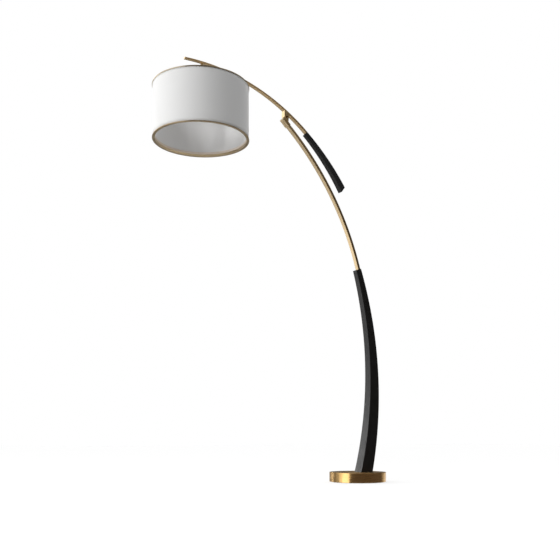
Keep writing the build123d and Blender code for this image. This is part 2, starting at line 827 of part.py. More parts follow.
# Fork on top of the stem, with a rounded head slotted for the lug
with BuildPart() as stem_fork:
    with BuildSketch(level_plane(shade_x, stem_fork_bottom)):
        Circle(stem_fork_radius)
    extrude(amount=stem_fork_length + stem_fork_radius)
    with BuildSketch(swivel_plane):
        Circle(stem_fork_radius)
        with Locations((0, -stem_fork_length / 2)):
            Rectangle(2 * stem_fork_radius, stem_fork_length)
    extrude(amount=stem_fork_radius, both=True, mode=Mode.INTERSECT)
    with BuildSketch(swivel_plane):
        with Locations((0, stem_fork_length / 2 - stem_fork_floor)):
            Rectangle(2 * stem_fork_radius, stem_fork_length)
    extrude(amount=hanger_thickness / 2 + run_gap, both=True, mode=Mode.SUBTRACT)
    with BuildSketch(swivel_plane):
        Circle(swivel_pin_radius + press_gap)
    extrude(amount=stem_fork_radius, both=True, mode=Mode.SUBTRACT)
    with BuildSketch(level_plane(shade_x, stem_fork_bottom)):
        Circle(stem_radius + press_gap)
    extrude(amount=stem_socket_depth, mode=Mode.SUBTRACT)
    with BuildSketch(level_plane(shade_x, stem_fork_bottom)):
        Circle(arm_lead_radius + lead_gap)
    extrude(amount=stem_fork_length, mode=Mode.SUBTRACT)
stem_fork.part.label = "stem_fork"

with BuildPart() as swivel_pin:
    with BuildSketch(swivel_plane):
        Circle(swivel_pin_radius)
    extrude(amount=stem_fork_radius + swivel_pin_proud, both=True)
    fillet(swivel_pin.edges(), radius=swivel_pin_proud / 2)
swivel_pin.part.label = "swivel_pin"

# Stem: a brass tube from the fork into the cap of the lamp holder
stem_top = stem_fork_bottom + stem_socket_depth - press_gap
stem_bottom = holder_top - stem_socket_depth
with BuildPart() as stem:
    with BuildSketch(level_plane(shade_x, stem_bottom)):
        Circle(stem_radius)
        Circle(arm_lead_radius + lead_gap, mode=Mode.SUBTRACT)
    extrude(amount=stem_top - stem_bottom)
stem.part.label = "stem"

with BuildPart() as stem_nut:
    with BuildSketch(level_plane(shade_x, holder_top)):
        RegularPolygon(stem_nut_radius, 6, major_radius=False)
        Circle(stem_radius + press_gap, mode=Mode.SUBTRACT)
    extrude(amount=stem_nut_height)
stem_nut.part.label = "stem_nut"

# Cap of the lamp holder: a brass bell over the skirt, open below
cap_bottom = hub_level + holder_skirt_rise - holder_cap_lap
cap_shoulder = cap_bottom + holder_cap_side
neck_radius = stem_nut_radius
with BuildPart() as holder_cap:
    with BuildSketch(shade_side):
        with BuildLine():
            Line((0, cap_bottom), (cap_radius, cap_bottom))
            Line((cap_radius, cap_bottom), (cap_radius, cap_shoulder))
            bell = TangentArc((cap_radius, cap_shoulder), (neck_radius, holder_top), tangent=(0, 1))
            Line(bell @ 1, (0, holder_top))
            Line((0, holder_top), (0, cap_bottom))
        make_face()
    revolve(axis=shade_axis)
    with BuildSketch(shade_side):
        with BuildLine():
            Line((0, cap_bottom), (cap_radius - holder_cap_wall, cap_bottom))
            Line(
                (cap_radius - holder_cap_wall, cap_bottom),
                (cap_radius - holder_cap_wall, cap_shoulder),
            )
            hollow = TangentArc(
                (cap_radius - holder_cap_wall, cap_shoulder),
                (neck_radius - holder_cap_wall, holder_top - holder_cap_wall),
                tangent=(0, 1),
            )
            Line(hollow @ 1, (0, holder_top - holder_cap_wall))
            Line((0, holder_top - holder_cap_wall), (0, cap_bottom))
        make_face()
    revolve(axis=shade_axis, mode=Mode.SUBTRACT)
    with BuildSketch(level_plane(shade_x, holder_top - stem_socket_depth)):
        Circle(stem_radius + press_gap)
    extrude(amount=stem_socket_depth, mode=Mode.SUBTRACT)
    with BuildSketch(side_plane((shade_x, key_level))):
        Circle(key_shaft_radius + run_gap)
    extrude(amount=-2 * cap_radius, mode=Mode.SUBTRACT)
holder_cap.part.label = "holder_cap"

# Skirt of the lamp holder, which carries the clamp rings of the shade
skirt_bottom = hub_level - holder_skirt_drop
with BuildPart() as holder_skirt:
    with BuildSketch(level_plane(shade_x, skirt_bottom)):
        Circle(holder_skirt_radius)
        Circle(holder_skirt_radius - holder_skirt_wall, mode=Mode.SUBTRACT)
    extrude(amount=insert_top - skirt_bottom)
holder_skirt.part.label = "holder_skirt"

# Insert in the top of the skirt, with the block of the switch above it
with BuildPart() as holder_insert:
    with BuildSketch(level_plane(shade_x, insert_level)):
        Circle(holder_skirt_radius - holder_skirt_wall - press_gap)
    extrude(amount=insert_height)
    with BuildSketch(level_plane(shade_x, insert_top)):
        Rectangle(switch_block_width, switch_block_length)
    extrude(amount=switch_block_height)
    with BuildSketch(side_plane((shade_x, key_level))):
        Circle(key_shaft_radius + pin_gap)
    extrude(amount=-switch_block_length, mode=Mode.SUBTRACT)
holder_insert.part.label = "holder_insert"

# Contacts of the lamp holder: a screw shell and a centre tab
with BuildPart() as screw_shell:
    with BuildSketch(level_plane(shade_x, insert_level)):
        Circle(screw_shell_radius)
        Circle(screw_shell_radius - screw_shell_wall, mode=Mode.SUBTRACT)
    extrude(amount=-screw_shell_length)
screw_shell.part.label = "screw_shell"

with BuildPart() as centre_contact:
    with BuildSketch(level_plane(shade_x, insert_level)):
        Circle(contact_radius)
    extrude(amount=-contact_height)
centre_contact.part.label = "centre_contact"

# Bulb: a threaded cap and a pear-shaped glass below it
bulb_cap_top = bulb_level + bulb_cap_length
thread_pitch = bulb_cap_length / (bulb_thread_count + 1)
with BuildPart() as bulb_cap:
    with BuildSketch(level_plane(shade_x, bulb_level)):
        Circle(bulb_cap_radius - bulb_thread_depth)
    extrude(amount=bulb_cap_length)
    for turn in range(bulb_thread_count):
        with BuildSketch(level_plane(shade_x, bulb_level + turn * thread_pitch)):
            Circle(bulb_cap_radius)
        extrude(amount=thread_pitch / 2)
    with BuildSketch(level_plane(shade_x, bulb_cap_top)):
        Circle(bulb_cap_radius / 2)
    extrude(amount=insert_level - contact_height - press_gap - bulb_cap_top)
bulb_cap.part.label = "bulb_cap"

globe_level = bulb_level - bulb_length + bulb_radius


def globe_outline(inset):
    """Half outline of the bulb's glass, or of its hollow."""
    top = bulb_level - inset
    with BuildSketch(shade_side) as outline:
        with BuildLine():
            Line((0, top), (bulb_neck_radius - inset, top))
            side = TangentArc(
                (0, globe_level - bulb_radius + inset),
                (bulb_radius - inset, globe_level),
                tangent=(1, 0),
            )
            Spline(
                side @ 1,
                (bulb_neck_radius - inset, top),
                tangents=((0, 1), (0, 1)),
            )
            Line(side @ 0, (0, top))
        make_face()
    return outline.sketch


with BuildPart() as bulb_globe:
    revolve(globe_outline(0), axis=shade_axis)
    revolve(globe_outline(bulb_glass_wall), axis=shade_axis, mode=Mode.SUBTRACT)
bulb_globe.part.label = "bulb_globe"

# Key of the switch, a shaft with a flat thumb piece
key_plane = side_plane((shade_x, key_level))
with BuildPart() as switch_key:
    with BuildSketch(key_plane.offset(-slide_gap)):
        Circle(key_shaft_radius)
    extrude(amount=-(key_reach - key_paddle_length / 2))
    with BuildSketch(key_plane.offset(-(key_reach - key_paddle_length))):
        Rectangle(key_paddle_width, key_paddle_thickness)
    extrude(amount=-key_paddle_length)
    fillet(switch_key.edges().group_by(Axis.Y)[-1], radius=key_paddle_thickness / 4)
switch_key.part.label = "switch_key"

# Clamp rings above and below the spider's hub
with BuildPart() as ring_nuts:
    for side in (-1, 1):
        with BuildSketch(level_plane(shade_x, hub_level + side * spider_plate / 2)):
            Circle(ring_nut_radius)
            Circle(holder_skirt_radius + slide_gap, mode=Mode.SUBTRACT)
        extrude(amount=side * ring_nut_height)
ring_nuts.part.label = "ring_nuts"

# Spider: a hub plate and spokes that rise to the shade's top rim
spoke_rise = spider_recess - spoke_rim_drop
with BuildPart() as spider:
    with BuildSketch(level_plane(shade_x, hub_level - spider_plate / 2)):
        Circle(spider_hub_radius)
        Circle(holder_skirt_radius + run_gap, mode=Mode.SUBTRACT)
    extrude(amount=spider_plate)
    for number in range(spoke_count):
        turn = radians(90 + number * 360 / spoke_count)
        outwards = Vector(cos(turn), sin(turn), 0)
        hub_end = Vector(shade_x, 0, hub_level) + outwards * (ring_nut_radius + spoke_radius + run_gap)
        rim_end = Vector(shade_x, 0, hub_level + spoke_rise) + outwards * trim_inner_radius
        with BuildSketch(Plane(origin=hub_end, z_dir=rim_end - hub_end)):
            Circle(spoke_radius)
        extrude(amount=(rim_end - hub_end).length)
    with BuildSketch(level_plane(shade_x, shade_bottom)):
        Circle(trim_inner_radius - slide_gap)
    extrude(amount=2 * shade_height, mode=Mode.INTERSECT)
spider.part.label = "spider"

# Shade: a fabric drum with a white liner, held in a gold rim at each end
with BuildPart() as shade_drum:
    with BuildSketch(level_plane(shade_x, shade_bottom + trim_web)):
        Circle(drum_radius)
        Circle(drum_radius - drum_thickness, mode=Mode.SUBTRACT)
    extrude(amount=shade_height - 2 * trim_web)
shade_drum.part.label = "shade_drum"

with BuildPart() as shade_liner:
    with BuildSketch(level_plane(shade_x, shade_bottom + trim_web)):
        Circle(liner_radius)
        Circle(liner_inner_radius, mode=Mode.SUBTRACT)
    extrude(amount=shade_height - 2 * trim_web)
shade_liner.part.label = "shade_liner"


def trim_outline(end_level, up, outer_height, inner_height):
    """Section of a rim: an outer leg, an inner leg and a web across the shade's edge."""
    lip_face = drum_radius + press_gap
    leg_face = liner_inner_radius - slide_gap
    web_face = end_level + up * (trim_web - press_gap)
    with BuildSketch(shade_side) as outline:
        with BuildLine():
            Polyline(
                (trim_inner_radius, end_level),
                (lip_face + trim_lip, end_level),
                (lip_face + trim_lip, end_level + up * outer_height),
                (lip_face, end_level + up * outer_height),
                (lip_face, web_face),
                (leg_face, web_face),
                (leg_face, end_level + up * inner_height),
                (trim_inner_radius, end_level + up * inner_height),
                close=True,
            )
        make_face()
        corners = outline.vertices().group_by(Axis.X)
        fillet(corners[0] + corners[-1], radius=trim_corner_radius)
    return outline.sketch


with BuildPart() as top_trim:
    revolve(
        trim_outline(shade_top, -1, top_trim_height, top_trim_inner_height),
        axis=shade_axis,
    )
top_trim.part.label = "top_trim"

with BuildPart() as bottom_trim:
    revolve(
        trim_outline(shade_bottom, 1, bottom_trim_height, bottom_trim_inner_height),
        axis=shade_axis,
    )
bottom_trim.part.label = "bottom_trim"

# Lead in the base, column and bar: from the bushing, up through the foot and along the bar
lead_start = base_radius - cover_wall - run_gap - bushing_flange_thickness - press_gap
lead_knee_x = bar_low_point[0] + (bar_low_point[1] - lead_column_height) * tan(radians(bar_low_lean))
lead_foot_top = base_height + foot_block_height + lead_turn_radius
lead_end_lean = bar_end_lean - along_arc(spigot_length / 2, bar_radius)
lead_mid_lean = (bar_low_lean + lead_end_lean) / 2
with BuildPart() as lead_column:
    with BuildLine(Plane.XZ) as lead_path:
        lead_run = FilletPolyline(
            (lead_start, lead_level),
            (column_setback, lead_level),
            (column_setback, lead_foot_top),
            (lead_knee_x, lead_column_height),
            bar_low_point,
            radius=[lead_turn_radius, lead_foot_bend, lead_column_bend],
        )
        ThreePointArc(
            lead_run @ 1,
            arc_point(bar_centre, bar_radius, lead_mid_lean),
            arc_point(bar_centre, bar_radius, lead_end_lean),
        )
    with BuildSketch(Plane(origin=(lead_start, 0, lead_level), x_dir=(0, 1, 0), z_dir=(-1, 0, 0))):
        Circle(lead_radius)
    sweep(path=lead_path.wire())
lead_column.part.label = "lead_column"

# Lead in the arm, along its middle, and lead in the stem
lead_arm_leans = (arm_lug_lean, (arm_lug_lean + hanger_lean) / 2, hanger_lean)
with BuildPart() as lead_arm:
    with BuildLine(Plane.XZ) as lead_arm_path:
        ThreePointArc(*[arc_point(arm_centre, arm_radius, lean) for lean in lead_arm_leans])
    with BuildSketch(cross_plane(arm_lug_point, arm_lug_lean)):
        Circle(arm_lead_radius)
    sweep(path=lead_arm_path.wire())
lead_arm.part.label = "lead_arm"

lead_stem_bottom = insert_top + switch_block_height + press_gap
with BuildPart() as lead_stem:
    with BuildSketch(level_plane(shade_x, lead_stem_bottom)):
        Circle(arm_lead_radius)
    extrude(amount=swivel_point[1] - stem_fork_floor - lead_stem_bottom)
lead_stem.part.label = "lead_stem"

pieces = [
    base_cover, base_weight, base_plate, plate_screws, base_pad, cord_bushing,
    column_shell, column_foot, column_bolts, bolt_washers, column_plug, bar_seat, column_screws,
    lower_bar, knuckle_fork, fork_pin, pivot_bolt, pivot_nut, friction_washers, pivot_lug,
    upper_arm, tip_plug, tail_weight, tail_screws, hanger_lug,
    stem_fork, swivel_pin, stem, stem_nut, holder_cap, holder_skirt, holder_insert,
    screw_shell, centre_contact, bulb_cap, bulb_globe, switch_key, ring_nuts, spider,
    shade_drum, shade_liner, top_trim, bottom_trim, lead_column, lead_arm, lead_stem,
]
os.makedirs("parts", exist_ok=True)
for piece in pieces:
    export_step(piece.part, f"parts/{piece.part.label}.step")
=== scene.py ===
import math
import bpy
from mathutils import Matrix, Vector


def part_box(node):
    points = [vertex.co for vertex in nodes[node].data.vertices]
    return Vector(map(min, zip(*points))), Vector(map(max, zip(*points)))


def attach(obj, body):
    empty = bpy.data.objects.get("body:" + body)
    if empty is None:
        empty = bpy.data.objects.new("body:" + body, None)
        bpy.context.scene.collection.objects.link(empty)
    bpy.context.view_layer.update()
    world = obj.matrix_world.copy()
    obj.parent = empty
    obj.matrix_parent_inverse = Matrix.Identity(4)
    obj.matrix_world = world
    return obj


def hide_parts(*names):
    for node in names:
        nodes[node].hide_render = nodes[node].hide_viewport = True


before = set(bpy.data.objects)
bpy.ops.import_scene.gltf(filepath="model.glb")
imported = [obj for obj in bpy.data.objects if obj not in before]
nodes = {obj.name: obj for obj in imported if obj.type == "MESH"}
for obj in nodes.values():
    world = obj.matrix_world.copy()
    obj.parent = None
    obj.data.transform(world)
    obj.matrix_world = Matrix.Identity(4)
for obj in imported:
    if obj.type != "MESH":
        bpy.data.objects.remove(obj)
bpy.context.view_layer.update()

# The weight is a grey-iron casting, 270 mm across, that fills the base and keeps the lamp upright.
# It stays as cast: a sandy dark skin with brown patches where the sand burnt on.


def put(tree, kind, values=(), **settings):
    """Adds a node to a tree: settings are its own properties, values its inputs, and a socket is linked."""
    made = tree.nodes.new(kind)
    for name, value in settings.items():
        setattr(made, name, value)
    for key, value in dict(values).items():
        socket = made.inputs[key]
        if isinstance(value, bpy.types.NodeSocket):
            tree.links.new(value, socket)
        else:
            socket.default_value = (*value, 1.0) if socket.type == "RGBA" else value
    return made


def effect(name, inputs, outputs):
    """Opens a shader node group: an input that starts at None is a vector, the others are values."""
    tree = bpy.data.node_groups.new(name, "ShaderNodeTree")
    for label, start in inputs.items():
        kind = "NodeSocketVector" if start is None else "NodeSocketFloat"
        socket = tree.interface.new_socket(label, in_out="INPUT", socket_type=kind)
        if start is not None:
            socket.default_value = start
    for label, kind in outputs.items():
        tree.interface.new_socket(label, in_out="OUTPUT", socket_type="NodeSocket" + kind)
    return tree, put(tree, "NodeGroupInput").outputs, put(tree, "NodeGroupOutput")


def sum_of(tree, operation, first, second=0.0):
    """One sum with values in a tree."""
    return put(tree, "ShaderNodeMath", {0: first, 1: second}, operation=operation).outputs[0]


def between(tree, share, first, second):
    """A colour between two colours, by a 0 to 1 share."""
    return put(tree, "ShaderNodeMix", {0: share, 6: first, 7: second}, data_type="RGBA").outputs[2]


def spread(tree, value, low, high, start=0.0, end=1.0):
    """Takes a value from the range start to end to the range low to high."""
    ends = {"Value": value, "From Min": start, "From Max": end, "To Min": low, "To Max": high}
    return put(tree, "ShaderNodeMapRange", ends).outputs["Result"]


def open_finish(name, centre=(0.0, 0.0, 0.0), turn=(0.0, 0.0, 0.0)):
    """Opens a material whose patterns are centred on a point of the lamp and turned about it."""
    material = bpy.data.materials.new(name)
    material.use_nodes = True
    tree = material.node_tree
    place = put(tree, "ShaderNodeTexCoord").outputs["Object"]
    centred = put(tree, "ShaderNodeMapping", {"Vector": place, "Location": [-c for c in centre]}).outputs[0]
    turned = put(tree, "ShaderNodeMapping", {"Vector": centred, "Rotation": turn}).outputs[0]
    return material, tree, tree.nodes["Principled BSDF"], turned


def lay(tree, surface, values):
    """Sets or links the inputs of a material's surface."""
    for key, value in values.items():
        if isinstance(value, bpy.types.NodeSocket):
            tree.links.new(value, surface.inputs[key])
        else:
            surface.inputs[key].default_value = value


def relief(tree, height, depth):
    """A bump of this depth in metres."""
    return put(tree, "ShaderNodeBump", {"Height": height, "Distance": depth, "Strength": 1.0}).outputs[0]


def dress(material, *names):
    """Gives a finish to solids that keep their shape."""
    for name in names:
        nodes[name].material_slots[0].material = material


grain, given, result = effect(
    "grain",
    {"Vector": None, "Size": 0.001},
    {"Grain": "Float", "Patches": "Float"},
)
density = sum_of(grain, "DIVIDE", 1.0, given["Size"])
fine = {"Vector": given["Vector"], "Scale": density, "Detail": 4.0, "Roughness": 0.6}
fine = put(grain, "ShaderNodeTexNoise", fine).outputs[0]
grain.links.new(fine, result.inputs["Grain"])
broad = {"Vector": given["Vector"], "Scale": sum_of(grain, "MULTIPLY", density, 0.04), "Detail": 5.0}
broad = put(grain, "ShaderNodeTexNoise", broad).outputs[0]
grain.links.new(spread(grain, broad, 0.0, 1.0, 0.3, 0.7), result.inputs["Patches"])


def grained(tree, place, size):
    """Grain of this size in a material: its fine value and its broad patches."""
    made = put(tree, "ShaderNodeGroup", node_tree=grain)
    tree.links.new(place, made.inputs["Vector"])
    made.inputs["Size"].default_value = size
    return made.outputs["Grain"], made.outputs["Patches"]


def grained_finish(name, size, tones, roughness, depth, **constants):
    """A finish with one grain: patches go between two tones, and the grain sets roughness and relief."""
    material, tree, surface, place = open_finish(name)
    fine, patches = grained(tree, place, size)
    lay(tree, surface, {
        "Base Color": between(tree, patches, *tones),
        "Roughness": spread(tree, fine, *roughness),
        "Normal": relief(tree, fine, depth),
    })
    lay(tree, surface, {key.replace("_", " "): value for key, value in constants.items()})
    return material


cast_iron = grained_finish(
    "cast_iron",
    size=0.0016,
    tones=((0.045, 0.044, 0.043), (0.085, 0.055, 0.036)),
    roughness=(0.62, 0.9),
    depth=0.0005,
    Metallic=0.35,
)
dress(cast_iron, "base_weight")

# Two hexagon bolts with washers hold the foot of the column down on the weight, from below.
# They are zinc-plated steel with a thin blue passivation, as bought.

zinc_steel = grained_finish(
    "zinc_steel",
    size=0.0005,
    tones=((0.50, 0.52, 0.55), (0.62, 0.61, 0.57)),
    roughness=(0.28, 0.46),
    depth=0.00004,
    Metallic=1.0,
)
dress(zinc_steel, "column_bolts", "bolt_washers", "column_foot")

# The cover is a drum of sheet brass, spun over a form, 300 mm across and 52 mm high.
# The brush ran round it on the lathe, and the brass has aged to an even warm gold under lacquer.


def vector_of(tree, operation, values):
    """One sum with vectors in a tree."""
    made = put(tree, "ShaderNodeVectorMath", values, operation=operation).outputs
    return made["Value"] if operation in ("LENGTH", "DOT_PRODUCT") else made["Vector"]


turned, given, result = effect(
    "turned_brushing",
    {"Vector": None, "Fine": 900.0, "Long": 2.5},
    {"Streak": "Float"},
)
flat = vector_of(turned, "MULTIPLY", {0: given["Vector"], 1: (1.0, 1.0, 0.0)})
radius = vector_of(turned, "LENGTH", {0: flat})
heading = vector_of(turned, "NORMALIZE", {0: flat})
around = vector_of(turned, "SCALE", {0: heading, "Scale": given["Long"]})
level = put(turned, "ShaderNodeSeparateXYZ", {0: given["Vector"]}).outputs["Z"]
rise = sum_of(turned, "MULTIPLY", level, given["Fine"])
upright = put(turned, "ShaderNodeCombineXYZ", {"Z": rise}).outputs[0]
thread = vector_of(turned, "ADD", {0: around, 1: upright})
step = sum_of(turned, "MULTIPLY", radius, given["Fine"])
marks = {"Vector": thread, "W": step, "Scale": 1.0, "Detail": 3.0, "Roughness": 0.65}
marks = put(turned, "ShaderNodeTexNoise", marks, noise_dimensions="4D").outputs[0]
turned.links.new(spread(turned, marks, 0.0, 1.0, 0.25, 0.75), result.inputs["Streak"])

aged, given, result = effect(
    "aged_brass",
    {"Vector": None, "Streak": 0.5, "Warmth": 0.5},
    {"Color": "Color", "Roughness": "Float"},
)
cloud = put(aged, "ShaderNodeTexNoise", {"Vector": given["Vector"], "Scale": 16.0, "Detail": 4.0}).outputs[0]
shade = spread(aged, cloud, 0.0, 1.0, 0.3, 0.7)
pale = between(aged, shade, (0.73, 0.57, 0.35), (0.80, 0.64, 0.41))
deep = between(aged, shade, (0.75, 0.46, 0.17), (0.83, 0.54, 0.23))
gold = between(aged, given["Warmth"], pale, deep)
speck = put(aged, "ShaderNodeTexNoise", {"Vector": given["Vector"], "Scale": 420.0, "Detail": 2.0}).outputs[0]
tarnish = spread(aged, speck, 0.0, 0.35, 0.64, 0.74)
spotted = between(aged, tarnish, gold, (0.36, 0.23, 0.10))
brushed = {"Value": spread(aged, given["Streak"], 0.88, 1.08), "Color": spotted}
brushed = put(aged, "ShaderNodeHueSaturation", brushed).outputs[0]
aged.links.new(brushed, result.inputs["Color"])
sheen = sum_of(aged, "ADD", cloud, given["Streak"])
aged.links.new(spread(aged, sheen, 0.22, 0.36, 0.4, 1.6), result.inputs["Roughness"])


def brass(name, brushing, warmth, centre=(0.0, 0.0, 0.0), turn=(0.0, 0.0, 0.0), **marks):
    """Aged brass with a brushing of its own about a centre."""
    groove = 0.00002
    material, tree, surface, place = open_finish(name, centre, turn)
    made = put(tree, "ShaderNodeGroup", node_tree=brushing)
    tree.links.new(place, made.inputs["Vector"])
    for label, value in marks.items():
        made.inputs[label].default_value = value
    streak = made.outputs["Streak"]
    tone = put(tree, "ShaderNodeGroup", node_tree=aged)
    tree.links.new(place, tone.inputs["Vector"])
    tree.links.new(streak, tone.inputs["Streak"])
    tone.inputs["Warmth"].default_value = warmth
    lay(tree, surface, {
        "Base Color": tone.outputs["Color"],
        "Roughness": tone.outputs["Roughness"],
        "Metallic": 1.0,
        "Normal": relief(tree, streak, groove),
    })
    return material


def surface_of(material):
    """The shader of a finish."""
    return material.node_tree.nodes["Principled BSDF"]


spun_brass = brass("spun_brass", turned, 1.0, Fine=700.0, Long=2.2)
lay(spun_brass.node_tree, surface_of(spun_brass), {"Anisotropic": 0.7, "Anisotropic Rotation": 0.25})
dress(spun_brass, "base_cover")

# A steel plate with three countersunk screws closes the base from below, and a ribbed rubber disc
# glued on it keeps the floor clean. A bushing of the same rubber lines the lead's way out at the back.

dress(zinc_steel, "base_plate", "plate_screws")

black_rubber = grained_finish(
    "black_rubber",
    size=0.0004,
    tones=((0.014, 0.014, 0.015), (0.028, 0.027, 0.026)),
    roughness=(0.7, 0.92),
    depth=0.00006,
)
dress(black_rubber, "cord_bushing")

ribbed_rubber, tree, surface, place = open_finish("ribbed_rubber")
chalk, bloom = grained(tree, place, 0.0004)
ribs = {"Vector": place, "Scale": 52.0, "Distortion": 0.0}
ribs = put(tree, "ShaderNodeTexWave", ribs, wave_type="RINGS", rings_direction="Z").outputs["Fac"]
lay(tree, surface, {
    "Base Color": between(tree, bloom, (0.014, 0.014, 0.015), (0.030, 0.029, 0.027)),
    "Roughness": spread(tree, chalk, 0.72, 0.92),
    "Normal": relief(tree, ribs, 0.0006),
})
dress(ribbed_rubber, "base_pad")

# The column is a tapered box of 1.5 mm sheet steel, bent to a long curve, welded and ground.
# It has a satin black powder coat with a fine orange peel, a little worn to a shine by hands.

powder_coat, tree, surface, place = open_finish("powder_coat")
peel, hands = grained(tree, place, 0.0014)
lay(tree, surface, {
    "Base Color": between(tree, hands, (0.014, 0.014, 0.0145), (0.019, 0.019, 0.0195)),
    "Roughness": spread(tree, hands, 0.36, 0.46),
    "Specular IOR Level": 0.34,
    "Normal": relief(tree, peel, 0.00005),
})
dress(powder_coat, "column_shell")

# A moulded plug closes the column's top round the bar, and a block lower down holds the bar's foot.
# Both are black glass-filled nylon with a spark-eroded matt skin.

black_nylon = grained_finish(
    "black_nylon",
    size=0.0006,
    tones=((0.013, 0.013, 0.014), (0.022, 0.022, 0.023)),
    roughness=(0.45, 0.62),
    depth=0.00004,
)
dress(black_nylon, "column_plug", "bar_seat")

# Two socket screws go in through the far side of the column, plug and bar.
# They are blackened steel, oiled, with a soft brown cast.

black_oxide = grained_finish(
    "black_oxide",
    size=0.0004,
    tones=((0.030, 0.029, 0.029), (0.055, 0.047, 0.042)),
    roughness=(0.3, 0.5),
    depth=0.00003,
    Metallic=0.9,
)
dress(black_oxide, "column_screws")

# The lower bar is a flat brass tube, 24 by 14 mm, rolled to a curve of 1.48 m radius.
# Its brushing runs along the curve, as the belt left it.

drawn, given, result = effect(
    "drawn_brushing",
    {"Vector": None, "Fine": 700.0, "Long": 25.0},
    {"Streak": "Float"},
)
axes = put(drawn, "ShaderNodeSeparateXYZ", {0: given["Vector"]}).outputs
run = sum_of(drawn, "MULTIPLY", sum_of(drawn, "ARCTAN2", axes["Z"], axes["X"]), given["Long"])
plane = vector_of(drawn, "MULTIPLY", {0: given["Vector"], 1: (1.0, 0.0, 1.0)})
depth = sum_of(drawn, "MULTIPLY", vector_of(drawn, "LENGTH", {0: plane}), given["Fine"])
width = sum_of(drawn, "MULTIPLY", axes["Y"], given["Fine"])
along = put(drawn, "ShaderNodeCombineXYZ", {"X": depth, "Y": width, "Z": run}).outputs[0]
marks = {"Vector": along, "Scale": 1.0, "Detail": 3.0, "Roughness": 0.65}
marks = put(drawn, "ShaderNodeTexNoise", marks).outputs[0]
drawn.links.new(spread(drawn, marks, 0.0, 1.0, 0.25, 0.75), result.inputs["Streak"])

bar_centre = (-1.41677, 0.0, 0.71211)
bar_brass = brass("bar_brass", drawn, 0.1, bar_centre, Fine=700.0, Long=25.0)
dress(bar_brass, "lower_bar", "knuckle_fork", "fork_pin")

# The knuckle clamps the arm's lug between two friction washers with a bolt and a cap nut.
# Lug, bolt and nut are brass; the washers are spring steel.

dress(bar_brass, "pivot_lug")
pivot_place = (-0.43293, 0.0, 1.81714)
pivot_turn = (math.radians(90.0), 0.0, 0.0)
pin_brass = brass("pin_brass", turned, 0.35, pivot_place, pivot_turn, Fine=1500.0, Long=3.0)
dress(pin_brass, "pivot_bolt", "pivot_nut")
dress(zinc_steel, "friction_washers")

# The arm is a tapered brass tube, bent to a tighter curve, with a square-cut plugged tip.
# It is brushed along its length like the bar, and two brass screws hold it to the tail.

arm_centre = (-0.95343, 0.0, 1.04085)
arm_brass = brass("arm_brass", drawn, 0.35, arm_centre, Fine=700.0, Long=17.0)
dress(arm_brass, "upper_arm", "tip_plug", "tail_screws")

# The tail is a solid iron counterweight on the arm's short end, squared, swelling to its slanted end.
# Its black paint is duller than the column's coat, and a little grainy over the cast skin.

matt_paint = grained_finish(
    "matt_paint",
    size=0.0012,
    tones=((0.027, 0.027, 0.0275), (0.034, 0.034, 0.034)),
    roughness=(0.6, 0.75),
    depth=0.00012,
    Specular_IOR_Level=0.16,
)
dress(matt_paint, "tail_weight")

# A small lug under the arm carries a pin, a slotted fork and the threaded stem that the shade hangs on.
# They are turned from brass rod.

dress(arm_brass, "hanger_lug")
stem_axis = (-0.90368, 0.0, 1.9)
stem_brass = brass("stem_brass", turned, 0.35, stem_axis, Fine=1200.0, Long=3.0)
dress(stem_brass, "stem_fork", "stem", "stem_nut", "holder_cap")
dress(pin_brass, "swivel_pin")

# The lamp holder has a brass cap over a white moulded skirt; the insert inside carries the contacts.
# White parts are urea moulding: hard, smooth and a little creamy.

white_urea = grained_finish(
    "white_urea",
    size=0.0008,
    tones=((0.74, 0.72, 0.67), (0.80, 0.79, 0.76)),
    roughness=(0.3, 0.42),
    depth=0.00002,
)
dress(white_urea, "holder_skirt", "holder_insert")

contact_brass = brass("contact_brass", turned, 0.8, stem_axis, Fine=1500.0, Long=3.0)
dress(contact_brass, "screw_shell", "centre_contact")

# A moulded key on the side of the holder turns its switch.
# It is the same black nylon as the column's plug, with soft corners.

dress(black_nylon, "switch_key")

# The bulb has a frosted globe, blown and etched inside, cemented in a threaded aluminium cap.
# It is hidden by the shade from most sides.

cap_metal = grained_finish(
    "cap_metal",
    size=0.0004,
    tones=((0.56, 0.56, 0.57), (0.66, 0.65, 0.63)),
    roughness=(0.25, 0.4),
    depth=0.00003,
    Metallic=1.0,
)
dress(cap_metal, "bulb_cap")

frosted_glass = grained_finish(
    "frosted_glass",
    size=0.0005,
    tones=((0.86, 0.86, 0.85), (0.92, 0.92, 0.91)),
    roughness=(0.38, 0.5),
    depth=0.00003,
    Transmission_Weight=0.55,
    IOR=1.48,
)
dress(frosted_glass, "bulb_globe")

# Two ring nuts on the skirt's thread clamp the spider's hub between them.
# They are moulded from the same urea, with ribs round the rim for the fingers.


def open_sizes(name, inputs):
    """Opens a tree of sizes: inputs are numbers, and it ends in a mesh with a finish."""
    tree = bpy.data.node_groups.new(name, "GeometryNodeTree")
    tree.is_modifier = True
    tree.interface.new_socket("Geometry", in_out="OUTPUT", socket_type="NodeSocketGeometry")
    for label in inputs:
        tree.interface.new_socket(label, in_out="INPUT", socket_type="NodeSocketFloat")
    tree.interface.new_socket("Finish", in_out="INPUT", socket_type="NodeSocketMaterial")
    return tree, put(tree, "NodeGroupInput").outputs


